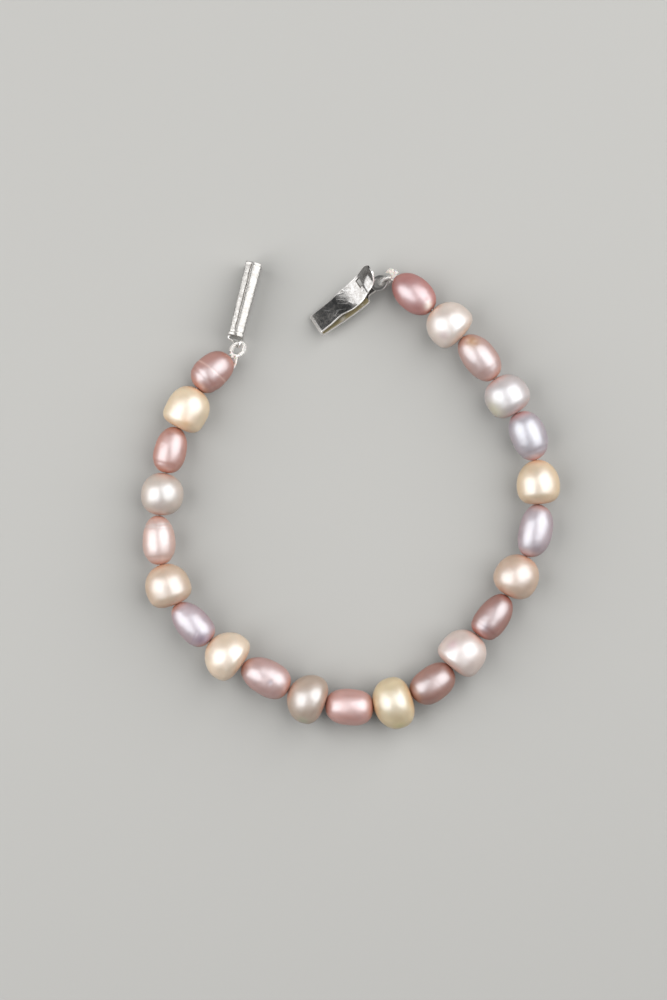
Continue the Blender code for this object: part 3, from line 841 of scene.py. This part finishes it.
def section(width, depth):
    """Points round the box's section: flat sides joined by two low arches."""
    half = width / 2
    radius = (half ** 2 + TUBE_ARCH ** 2) / (2 * TUBE_ARCH)
    spread = math.asin(half / radius)
    side = depth / 2 - TUBE_ARCH
    points = []
    for sign in (1, -1):
        for k in range(ARCH_STEPS + 1):
            a = spread * (1 - 2 * k / ARCH_STEPS)
            points.append((sign * radius * math.sin(a), sign * (depth / 2 - radius * (1 - math.cos(a)))))
        points += [(-sign * half, sign * side * (1 - 2 * k / SIDE_STEPS)) for k in range(1, SIDE_STEPS)]
    return points


def walls(bm, rings):
    """Bridges rings of the section, each a distance along the box, a width and a depth, and caps the ends."""
    loops = []
    for x, width, depth in rings:
        verts = [bm.verts.new((x, y, z)) for y, z in section(width, depth)]
        loops.append([bm.edges.new(pair) for pair in zip(verts, verts[1:] + verts[:1])])
    for near, far in zip(loops, loops[1:]):
        bmesh.ops.bridge_loops(bm, edges=near + far)
    for loop in (loops[0], loops[-1]):
        bmesh.ops.contextual_create(bm, geom=loop)


def round_edges(bm, angle, segments):
    """Rounds the edges whose faces meet at more than an angle."""
    sharp = [edge for edge in bm.edges if len(edge.link_faces) == 2 and edge.calc_face_angle() > angle]
    bmesh.ops.bevel(bm, geom=sharp, offset=EDGE_ROUND, offset_type="OFFSET", segments=segments, profile=0.5,
                    affect="EDGES", material=-1, clamp_overlap=True)


def set_down(pieces, rotation, anchor, target):
    """Turns a clasp half's meshes, rests them on the table, and puts an anchor point over a target."""
    reach = rotation @ anchor
    for bm in pieces:
        bmesh.ops.rotate(bm, verts=bm.verts, cent=(0, 0, 0), matrix=rotation)
    lowest = min(vert.co.z for bm in pieces for vert in bm.verts)
    print("set down at", [round(v / MM, 3) for v in (target.x - reach.x, target.y - reach.y, -lowest)])
    for bm in pieces:
        bmesh.ops.translate(bm, verts=bm.verts, vec=(target.x - reach.x, target.y - reach.y, -lowest))


# %% [markdown]
# ## Rolling the box
#
# Sections of the box, bridged along the outside, in at the mouth and back to the plate, give walls of one
# thickness without a cut. The bail is a swept wire. Cuts across the box then give it vertices enough for
# its wear.

# %% Rolling the box
WALL_PAIR = 2 * TUBE_WALL
LIP_PAIR = 2 * TUBE_LIP
tube_bm = bmesh.new()
walls(tube_bm, [
    (0.0, TUBE_WIDTH_CLOSED + LIP_PAIR, TUBE_DEPTH + LIP_PAIR),
    (TUBE_END_WALL, TUBE_WIDTH_CLOSED + LIP_PAIR, TUBE_DEPTH + LIP_PAIR),
    (TUBE_END_WALL, TUBE_WIDTH_CLOSED - GROOVE_DEPTH, TUBE_DEPTH - GROOVE_DEPTH),
    (TUBE_END_WALL + GROOVE_LENGTH, TUBE_WIDTH_CLOSED - GROOVE_DEPTH, TUBE_DEPTH - GROOVE_DEPTH),
    (TUBE_END_WALL + GROOVE_LENGTH + GROOVE_SLOPE, TUBE_WIDTH_CLOSED, TUBE_DEPTH),
    (TUBE_LENGTH, TUBE_WIDTH_MOUTH, TUBE_DEPTH),
    (TUBE_LENGTH, TUBE_WIDTH_MOUTH - WALL_PAIR, TUBE_DEPTH - WALL_PAIR),
    (TUBE_END_WALL, TUBE_WIDTH_CLOSED - WALL_PAIR, TUBE_DEPTH - WALL_PAIR),
])
bail_bm = bmesh.new()
sweep(bail_bm, spline([Vector(point) * MM for point in BAIL], BAIL_STEPS), BAIL_RADIUS, BAIL_SIDES)
rubbed = bail_bm.verts.layers.float.new("rubbed")
for vert in bail_bm.verts:
    vert[rubbed] = BAIL_RUBBED
bmesh.ops.recalc_face_normals(tube_bm, faces=tube_bm.faces)
round_edges(tube_bm, BOX_SHARP, 3)
for k in range(1, TUBE_STEPS):
    x = TUBE_END_WALL + (TUBE_LENGTH - TUBE_END_WALL) * k / TUBE_STEPS
    bmesh.ops.bisect_plane(tube_bm, geom=tube_bm.verts[:] + tube_bm.edges[:] + tube_bm.faces[:],
                           plane_co=(x, 0, 0), plane_no=(1, 0, 0))
print("box faces:", len(tube_bm.faces))

# %% [markdown]
# ## Wear on the box
#
# The sheet isn't perfect. A shallow pitted line runs along the top, a little left of the middle, and the
# end plate is domed. Fingers hold the box by its flat sides, which are rubbed and painted lighter than the
# top.

# %% Wear on the box
SEAM_DEPTH = 0.03 * MM
SEAM_WIDTH = 0.13 * MM
SEAM_AT = 0.27 * MM
SEAM_WANDER = 0.08 * MM
SEAM_WAVE_MM = 2.0
SEAM_WAVE_SEED = 4.0
SEAM_PIT_MM = 0.25
SEAM_PITS = (0.7, 0.9)
SEAM_CLEARS_PLATE = (0.8 * MM, 1.4 * MM)
INSIDE_TARNISH = 0.8
DENT_MM = 2.2
DENT_DEPTH = 0.03 * MM
SIDE_RUBBED_AND_LIGHTENED = 0.45
SIDE_FADE = 0.5 * MM


def seam(co):
    """How near a point of the box's top is to the pitted line, and how deep the line is pitted there."""
    wander = SEAM_WANDER * noise.noise(Vector((co.x / (SEAM_WAVE_MM * MM), SEAM_WAVE_SEED, 0.0)))
    rough = SEAM_PITS[0] + SEAM_PITS[1] * abs(noise.noise(co / (SEAM_PIT_MM * MM)))
    clear_of_plate = ramp(co.x, *SEAM_CLEARS_PLATE)
    return (co.z > 0) * clear_of_plate * rough * bell(co.y - SEAM_AT - wander, SEAM_WIDTH)


tarnish = tube_bm.verts.layers.float.new("tarnish")
rubbed = tube_bm.verts.layers.float.new("rubbed")
tube_bm.normal_update()
side_half = TUBE_DEPTH / 2 - TUBE_ARCH
inner_half = TUBE_WIDTH_CLOSED / 2 - TUBE_WALL / 2
for vert in tube_bm.verts:
    co = vert.co
    outside = abs(co.y) > inner_half or abs(co.z) > TUBE_DEPTH / 2 - TUBE_ARCH - TUBE_WALL / 2
    if co.x < TUBE_END_WALL / 2:
        share = (co.y / (TUBE_WIDTH_CLOSED / 2)) ** 2 + (co.z / (TUBE_DEPTH / 2)) ** 2
        co.x -= PLATE_DOME * max(0.0, 1 - share)
    elif outside and co.x < TUBE_LENGTH - TUBE_WALL:
        wave = 0.5 + 0.5 * noise.noise(co / (DENT_MM * MM))
        vert[tarnish] = min(1.0, seam(co))
        # The flat sides are rubbed, and painted lighter than the top.
        vert[rubbed] = SIDE_RUBBED_AND_LIGHTENED * (1 - ramp(abs(co.z), side_half - SIDE_FADE, side_half))
        vert.co -= vert.normal * (DENT_DEPTH * wave + SEAM_DEPTH * seam(co))
    if not outside:
        vert[tarnish] = INSIDE_TARNISH
set_down((tube_bm, bail_bm), TUBE_TURN, RING_PLACE, loop_point(tube_loop, RING_CROSSING))
for name, bm in (("silver_box", tube_bm), ("wire_bail", bail_bm)):
    bmesh.ops.recalc_face_normals(bm, faces=bm.faces)
    add_piece(name, bm, housing_silver, "clasp_tube")

# %% [markdown]
# ## The tongue half of the clasp
#
# The tongue is one strip of silver folded back on itself. The lower leaf ends in a neck and an eye, the
# upper one rises to a thumb tab with a slot across it. Both leaves are charted as rows of shares of a few
# named sizes.

# %% The tongue's sizes
STRIP_THICKNESS = 0.28 * MM
LOWER_WIDTH = 4.15 * MM
LOWER_BOW = 0.5 * MM
UPPER_WIDTH = 4.2 * MM
TAB_RISE = 5.05 * MM
TONGUE_LENGTH = 12.6 * MM
FOLD_RADIUS = 0.45 * MM
FOLD_STEPS = 8
EYE_RADIUS = 1.5 * MM
EYE_HOLE_RADIUS = 0.95 * MM
EYE_THICKNESS = 0.34 * MM
WIRE_IN_EYE = 0.15 * MM
SLOT_LENGTH = 0.7 * MM
SLOT_WIDTH = 1.5 * MM
SLOT_AT = 9.9 * MM
SLOT_SHIFT = 0.5 * MM
SLOT_ROW_WIDTH = 3.65 * MM
TONGUE_TURN = (Matrix.Rotation(math.radians(34), 3, "Z") @ Matrix.Rotation(math.radians(-2), 3, "Y")
               @ Matrix.Rotation(math.radians(-33), 3, "X"))
LEAF_CROWN = 0.05 * MM
TAB_CROWN = 0.16 * MM
CROWN_FROM = 4.5 * MM
CROWN_TO = 8.5 * MM
TAB_CREASE = 0.36
CREASE_FROM = 9.6 * MM
CREASE_TO = 11.6 * MM
CREASE_START = -0.55 * MM
CREASE_SLOPE = 0.25
CREASE_ROUND = 0.15 * MM
STRIP_SHARP = math.radians(50)
COLUMNS = 44
ROW_STEPS = 14

# The lower leaf from the eye's neck to the fold: along the tongue, its bow downwards, its width, as shares of
# TONGUE_LENGTH, LOWER_BOW and LOWER_WIDTH
LOWER_LEAF = (
    (0.915, 0.00, 0.43), (0.865, 0.05, 0.43), (0.800, 0.15, 0.45), (0.765, 0.25, 0.74), (0.730, 0.40, 0.98),
    (0.500, 1.00, 1.00), (0.230, 1.00, 1.00), (0.080, 0.95, 1.00),
)
# The upper leaf from the fold to the thumb tab's tip: along the tongue, its rise and its width, as shares of
# TONGUE_LENGTH, TAB_RISE and UPPER_WIDTH, and its twist in degrees
UPPER_LEAF = (
    (0.180, 0.14, 0.93, 0), (0.340, 0.22, 0.89, 0), (0.420, 0.24, 0.94, 2), (0.505, 0.26, 0.96, 10),
    (0.610, 0.30, 0.94, 16), (0.705, 0.37, 0.92, 18), (0.785, 0.48, 0.87, 14), (0.825, 0.56, 0.86, 8),
    (0.885, 0.68, 0.85, 2), (0.940, 0.80, 0.78, 0), (0.970, 0.90, 0.62, 0), (0.990, 0.96, 0.45, 0),
    (0.997, 1.00, 0.32, 0),
)


def strip_rows():
    """Rows along the strip, each the distance along the tongue, the height, the width and the twist."""
    lower = [Vector((x * TONGUE_LENGTH, -bow * LOWER_BOW, w * LOWER_WIDTH, 0)) for x, bow, w in LOWER_LEAF]
    upper = [Vector((x * TONGUE_LENGTH, rise * TAB_RISE, w * UPPER_WIDTH, math.radians(twist)))
             for x, rise, w, twist in UPPER_LEAF]
    fold = []
    for k in range(FOLD_STEPS + 1):
        share = k / FOLD_STEPS
        a = math.pi * (1.5 - share)
        width = lower[-1].z * (1 - share) + upper[0].z * share
        fold.append(Vector((FOLD_RADIUS * (1 + math.cos(a)), FOLD_RADIUS * math.sin(a), width, 0)))
    return spline(lower, ROW_STEPS) + fold + spline(upper, ROW_STEPS)


# %% [markdown]
# ## Wear on the tongue
#
# The upper leaf has been pressed by many thumbs. It is slightly crowned and twisted towards the tab, whose
# right half is bent down along a crease from the slot to the tip. A small round punch mark lies beside the
# slot, a ridge runs along the fold, and a few long scratches cross the leaf.

# %% Wear on the tongue
PUNCH = Vector((9.75 * MM, -0.98 * MM, 0.0))
PUNCH_RADIUS = 0.2 * MM
PUNCH_RIM = 0.1 * MM
PUNCH_DEPTH = 0.03 * MM
RIDGE_AT = 0.62 * MM
RIDGE_WIDTH = 0.2 * MM
RIDGE_HEIGHT = 0.03 * MM
RUBBED_HIGHLIGHT_WIDTH = 0.13 * MM
RIDGE_HIGHLIGHT = 0.9
SCRATCH_RUBBED_AND_HIGHLIGHT = 0.5
FOLD_HIGHLIGHT = 0.35 * MM
LEAF_DENT_MM = 1.3
LEAF_DENT_DEPTH = 0.02 * MM
SCRATCH_WIDTH = 0.07 * MM
# Scratches: where each starts and ends, along and across the tongue, and its depth, in mm
SCRATCHES = (
    (6.0, 1.75, 6.9, 1.35, 0.02), (6.9, 1.9, 7.0, 1.5, 0.02), (5.0, 0.4, 6.3, -0.7, 0.008),
    (4.2, -0.6, 5.6, -1.4, 0.008), (2.6, 1.0, 3.3, 0.2, 0.007), (5.2, 1.2, 5.9, 0.5, 0.008),
    (6.6, -0.2, 7.1, -1.3, 0.008), (3.4, -1.2, 4.4, -0.9, 0.007), (5.9, 0.6, 6.2, 0.1, 0.008),
)
# Dents in the edge of the lower leaf that shows: along and across the tongue, radius and depth, in mm
EDGE_DENTS = ((4.4, -1.75, 0.45, 0.09), (8.35, -1.65, 0.2, 0.04))


def to_segment(point, start, end):
    """The distance of a point from a straight stroke."""
    along = end - start
    share = min(1.0, max(0.0, (point - start).dot(along) / along.length_squared))
    return (point - start - along * share).length


def scratch_share(x, out):
    """One in the middle of a scratch of the upper leaf, and near zero beside it."""
    strokes = ((Vector((x0, y0)) * MM, Vector((x1, y1)) * MM) for x0, y0, x1, y1, _ in SCRATCHES)
    return max(bell(to_segment(Vector((x, out)), start, end), SCRATCH_WIDTH) for start, end in strokes)


def wear_leaf(x, out):
    """How far the upper leaf sinks at a distance along the tongue and out from its middle."""
    flat = Vector((x, out, 0.0))
    sink = LEAF_DENT_DEPTH * (0.5 + 0.5 * noise.noise(flat / (LEAF_DENT_MM * MM)))
    sink += PUNCH_DEPTH * bell((flat - PUNCH).length, PUNCH_RADIUS)
    sink -= PUNCH_DEPTH * bell((flat - PUNCH).length - PUNCH_RADIUS, PUNCH_RIM)
    sink -= RIDGE_HEIGHT * bell(x - RIDGE_AT, RIDGE_WIDTH)
    for x0, y0, x1, y1, depth in SCRATCHES:
        near = to_segment(flat, Vector((x0, y0, 0)) * MM, Vector((x1, y1, 0)) * MM)
        sink += depth * MM * bell(near, SCRATCH_WIDTH)
    crown = LEAF_CROWN + TAB_CROWN * ramp(x, CROWN_FROM, CROWN_TO)
    sink += crown * (out / (UPPER_WIDTH / 2)) ** 2
    beyond = CREASE_START - CREASE_SLOPE * (CREASE_FROM - x) - out
    rounded = (beyond + math.hypot(beyond, CREASE_ROUND)) / 2
    return sink + TAB_CREASE * ramp(x, CREASE_FROM, CREASE_TO) * rounded


def wear_edge(x, out):
    """How far the lower leaf sinks at the dents in its edge."""
    flat = Vector((x, out, 0.0))
    return sum(depth * MM * bell((flat - Vector((at, y, 0)) * MM).length, radius * MM)
               for at, y, radius, depth in EDGE_DENTS)


# %% [markdown]
# ## Bending the strip
#
# A flat grid is bent along the rows like a real strip, so that its thickness stays even round the fold.
# The slot's faces are chosen while the grid is flat and are taken out after bending, and solidify makes
# the sheet.

# %% Bending the strip
rows = strip_rows()
tongue_bm = bmesh.new()
bmesh.ops.create_grid(tongue_bm, x_segments=len(rows) - 1, y_segments=COLUMNS, size=1.0)
rubbed = tongue_bm.verts.layers.float.new("rubbed")
tarnish = tongue_bm.verts.layers.float.new("tarnish")
slot_faces = []
for face in tongue_bm.faces:
    at = face.calc_center_median()
    x, z, _, _ = rows[int((at.x + 1) / 2 * (len(rows) - 1))]
    out = at.y * SLOT_ROW_WIDTH / 2
    if z > 0 and abs(x - SLOT_AT) < SLOT_LENGTH / 2 and abs(out - SLOT_SHIFT) < SLOT_WIDTH / 2:
        slot_faces.append(face)
# Painted shade: the slot's rim is painted dark.
for vert in {vert for face in slot_faces for vert in face.verts}:
    vert[tarnish] = 1.0
for vert in tongue_bm.verts:
    x, z, width, twist = rows[round((vert.co.x + 1) / 2 * (len(rows) - 1))]
    out = vert.co.y * width / 2
    # Edges, the fold, the ridge and the scratches are rubbed, and painted lighter as painted highlights.
    bright = bell(width / 2 - abs(out), RUBBED_HIGHLIGHT_WIDTH)
    if z > -FOLD_RADIUS / 2:
        bright += (bell(x, FOLD_HIGHLIGHT) + RIDGE_HIGHLIGHT * bell(x - RIDGE_AT, RUBBED_HIGHLIGHT_WIDTH)
                   + SCRATCH_RUBBED_AND_HIGHLIGHT * scratch_share(x, out))
    vert[rubbed] = min(1.0, bright)
    sink = wear_edge(x, out)
    if z > 0 and x >= FOLD_RADIUS:
        sink = wear_leaf(x, out)
    vert.co = (x, out * math.cos(twist), z + out * math.sin(twist) - sink)
tongue_bm.normal_update()
if max(tongue_bm.faces, key=lambda face: face.calc_center_median().z).normal.z < 0:
    bmesh.ops.reverse_faces(tongue_bm, faces=tongue_bm.faces)
flat_length = sum((b.xy - a.xy).length for a, b in zip(rows, rows[1:]))
print("rows:", len(rows), "slot faces:", len(slot_faces), "flat strip in mm:", round(flat_length / MM, 1))
bmesh.ops.delete(tongue_bm, geom=slot_faces, context="FACES")
tongue_bm.normal_update()
for vert in tongue_bm.verts:
    vert.co += vert.normal * (STRIP_THICKNESS / 2)
bmesh.ops.solidify(tongue_bm, geom=tongue_bm.faces[:], thickness=STRIP_THICKNESS)
bmesh.ops.recalc_face_normals(tongue_bm, faces=tongue_bm.faces)
round_edges(tongue_bm, STRIP_SHARP, 2)

# %% [markdown]
# ## Tarnish and the eye
#
# Between the leaves no cloth reaches, so the silver is brown there. A yellowish film dulls the lower
# leaf's edge, which shows beside the upper one; it is partly a painted reflection of the upper leaf's
# underside, and two painted highlights lie on it. The eye is a ring with a rounded section, spun round its
# hole.

# %% Tarnish and the eye
SHOWN_EDGE = -1.2 * MM
SHOWN_FADE = 0.4 * MM
GAP_TARNISH = 0.8
SPOT_HIGHLIGHT = 0.5
EYE_RUBBED = 0.4
EYE_ROUND = 0.09 * MM
EYE_STEPS = 72
# Painted highlights on the film: along and across the tongue and radius, in mm
HIGHLIGHT_SPOTS = ((4.3, -1.5, 0.7), (8.27, -1.6, 0.25))
film = tongue_bm.verts.layers.float.new("film")
for vert in tongue_bm.verts:
    flat = Vector((vert.co.x, vert.co.y, 0.0))
    if vert.co.z < 0 and vert.co.x < LOWER_LEAF[2][0] * TONGUE_LENGTH:
        hidden = ramp(vert.co.y, SHOWN_EDGE, SHOWN_EDGE + SHOWN_FADE)
        vert[tarnish] = GAP_TARNISH * hidden
        # The shown edge gets the film, partly a painted reflection of the upper leaf's underside.
        vert[film] = (1 - hidden) * (1 - vert[rubbed])
        # Painted highlights on the shown edge.
        for at, y, radius in HIGHLIGHT_SPOTS:
            near = bell((flat - Vector((at, y, 0)) * MM).length, radius * MM)
            vert[rubbed] = max(vert[rubbed], SPOT_HIGHLIGHT * near)
eye_bm = bmesh.new()
rubbed = eye_bm.verts.layers.float.new("rubbed")
half = EYE_THICKNESS / 2
corners = [(EYE_HOLE_RADIUS, -half), (EYE_RADIUS, -half), (EYE_RADIUS, half), (EYE_HOLE_RADIUS, half)]
profile = [eye_bm.verts.new((r, 0.0, z)) for r, z in corners]
edges = [eye_bm.edges.new(pair) for pair in zip(profile, profile[1:] + profile[:1])]
bmesh.ops.bevel(eye_bm, geom=profile, offset=EYE_ROUND, offset_type="OFFSET", segments=4, profile=0.5,
                affect="VERTICES", material=-1)
bmesh.ops.spin(eye_bm, geom=eye_bm.verts[:] + eye_bm.edges[:], cent=(0, 0, 0), axis=(0, 0, 1),
               angle=2 * math.pi, steps=EYE_STEPS, use_merge=True)
for vert in eye_bm.verts:
    vert[rubbed] = EYE_RUBBED
bmesh.ops.translate(eye_bm, verts=eye_bm.verts, vec=(TONGUE_LENGTH, 0, 0))
set_down((tongue_bm, eye_bm), TONGUE_TURN, Vector((TONGUE_LENGTH, 0.0, 0.0)),
         tongue_mouth + tongue_towards * (LOOP_STANDOFF + TONGUE_LOOP_LENGTH + WIRE_IN_EYE))
for name, bm in (("silver_tongue", tongue_bm), ("tongue_eye", eye_bm)):
    bmesh.ops.recalc_face_normals(bm, faces=bm.faces)
    add_piece(name, bm, darkened_tongue_silver, "clasp_tongue")
